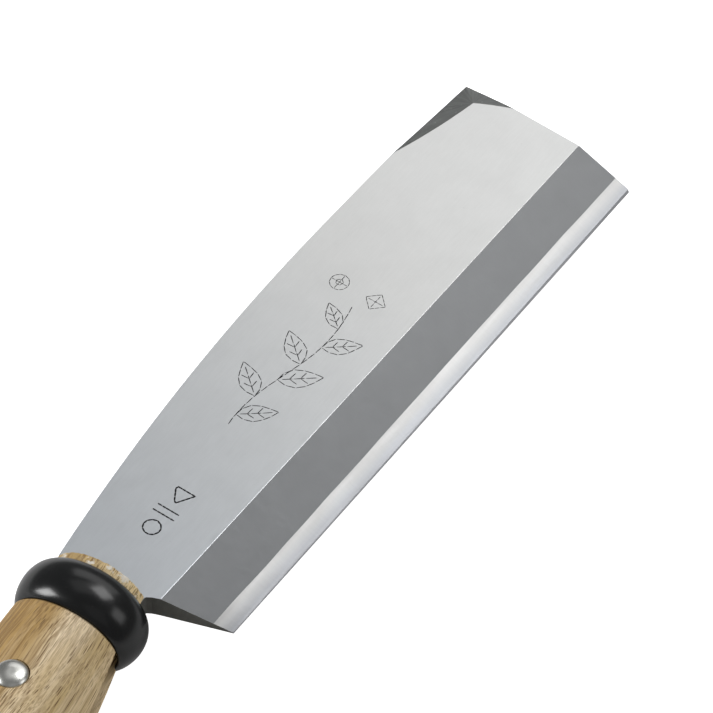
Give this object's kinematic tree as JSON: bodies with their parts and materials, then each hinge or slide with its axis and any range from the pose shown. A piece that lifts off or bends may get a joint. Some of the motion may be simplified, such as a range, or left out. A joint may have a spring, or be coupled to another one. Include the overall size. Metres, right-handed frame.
{
  "type": "skiving knife",
  "caption": "Heavy single-bevel hand knife: laminated steel blade with a square tip and ground corner, riveted in a slotted oak handle with a round iron ring.",
  "frame": {"origin": "middle of the flat back face of the edge steel, 75 mm from the heel corner along the edge and 14 mm from the edge", "axes": "+X along the cutting edge from heel to tip, +Y from the edge to the spine, +Z out of the bevelled face"},
  "size_m": [0.3134, 0.059, 0.0241],
  "materials": {
    "soft_iron": "satin ground iron, light grey on the flat and darker on the bevel and facets",
    "hard_steel": "fine ground and honed hard steel, bright",
    "oak": "pale oak with open pores, dry smooth sanded surface",
    "black_iron": "smooth black lacquer with a soft gloss",
    "rivet_metal": "polished domed nickel"
  },
  "bodies": {
    "root": {"blade_body": "soft_iron", "edge_steel": "hard_steel", "handle": "oak", "ring_ferrule": "black_iron", "front_rivet_head": "rivet_metal", "front_rivet_socket": "rivet_metal", "rear_rivet_head": "rivet_metal", "rear_rivet_socket": "rivet_metal"}
  },
  "joints": []
}
